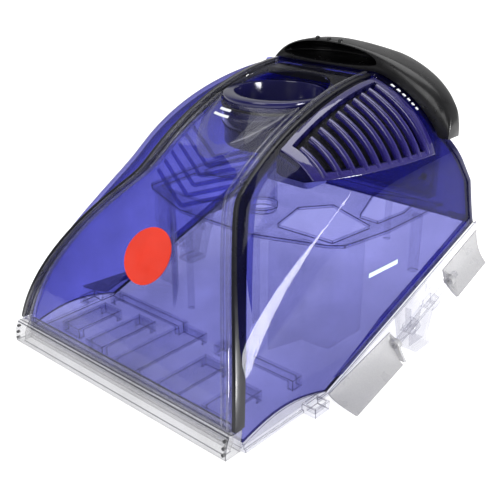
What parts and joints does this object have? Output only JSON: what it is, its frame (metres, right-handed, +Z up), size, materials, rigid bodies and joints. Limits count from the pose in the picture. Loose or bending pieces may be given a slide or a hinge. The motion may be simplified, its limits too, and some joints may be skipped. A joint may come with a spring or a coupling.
{
  "type": "carpet cleaner recovery tank",
  "caption": "Translucent recovery tank of an upright carpet cleaner, with its clear floor nozzle, carry handle, filter grille, float and side latches.",
  "frame": {"origin": "on the floor plane, below the middle of the whole object's box", "axes": "+X across to the side with the filter grille, +Y to the back, +Z up; the floor nozzle faces -Y"},
  "size_m": [0.34, 0.36, 0.249],
  "materials": {
    "violet_clear": "polished translucent violet plastic",
    "violet_deep": "polished translucent violet plastic, seen thick",
    "cup_navy": "satin dark blue",
    "grille_violet": "glossy deep violet",
    "window_clear": "clear plastic",
    "lip_clear": "clear plastic, slightly hazy",
    "tray_clear": "clear plastic",
    "frosted": "frosted translucent plastic",
    "black_gloss": "satin black",
    "seal_rubber": "matt black rubber",
    "foam": "open-cell dark foam",
    "float_foam": "closed-cell foam",
    "steel": "zinc-plated steel",
    "dark_pin": "dark moulded pins",
    "white_print": "white pad print",
    "red_print": "red pad print"
  },
  "bodies": {
    "tank": {"tank_hood": "violet_clear", "rear_duct": "violet_clear", "inlet_spout": "violet_clear", "separator_walls": "violet_clear", "float_bracket": "violet_clear", "pivot_lugs": "violet_clear", "baffle_plate": "violet_clear", "rear_cover": "violet_deep", "suction_ramp_ribs": "violet_deep", "baffle_posts": "violet_deep", "filter_tray": "grille_violet", "front_nozzle": "window_clear", "nozzle_ridges": "window_clear", "port_collar": "window_clear", "nozzle_lip": "lip_clear", "base_tray": "tray_clear", "tray_channels": "tray_clear", "hinge_bracket_left": "tray_clear", "hinge_bracket_right": "tray_clear", "channel_end": "seal_rubber", "outlet_seal": "seal_rubber", "nozzle_seal_left": "seal_rubber", "nozzle_seal_right": "seal_rubber", "port_seal": "seal_rubber", "tank_seal": "seal_rubber", "filter_foam": "foam", "duct_screws": "steel", "handle_pins": "steel", "handle_spring": "steel", "float_pin": "steel", "lip_pins": "dark_pin", "full_level_mark": "white_print", "port_mark": "white_print", "grille_marks": "white_print", "window_badge": "red_print"},
    "diverter": {"diverter_cup": "cup_navy", "cup_deflector": "cup_navy"},
    "handle": {"carry_handle": "black_gloss", "handle_bumps": "black_gloss"},
    "grille_cover": {"filter_grille": "grille_violet", "grille_louvres": "grille_violet"},
    "float": {"float_block": "float_foam", "float_arm": "violet_deep", "shutoff_door": "violet_deep"},
    "latch_left": {"latch_rod_left": "tray_clear", "front_paddle_left": "frosted", "rear_paddle_left": "frosted"},
    "latch_right": {"latch_rod_right": "tray_clear", "front_paddle_right": "frosted", "rear_paddle_right": "frosted"}
  },
  "joints": [
    {"name": "diverter_turn", "type": "hinge", "parent": "tank", "child": "diverter", "pos_m": [0, 0.025, 0.2], "axis": [0, 0, 1], "range_deg": [0, 180]},
    {"name": "handle_lift", "type": "hinge", "parent": "tank", "child": "handle", "pos_m": [0, 0.136, 0.21], "axis": [-1, 0, 0], "range_deg": [0, 25]},
    {"name": "grille_off", "type": "slide", "parent": "tank", "child": "grille_cover", "axis": [0.6, 0, 0.8], "range_m": [0, 0.03]},
    {"name": "float_rise", "type": "hinge", "parent": "tank", "child": "float", "pos_m": [0, 0.088, 0.174], "axis": [-1, 0, 0], "range_deg": [0, 22]},
    {"name": "latch_left_out", "type": "hinge", "parent": "tank", "child": "latch_left", "pos_m": [-0.145, 0.06, 0.0324], "axis": [0, 0.9439, 0.3304], "range_deg": [0, 10], "stiffness_Nm_per_rad": 0.3},
    {"name": "latch_right_out", "type": "hinge", "parent": "tank", "child": "latch_right", "pos_m": [0.145, 0.06, 0.0324], "axis": [0, -0.9439, -0.3304], "range_deg": [0, 10], "stiffness_Nm_per_rad": 0.3}
  ]
}
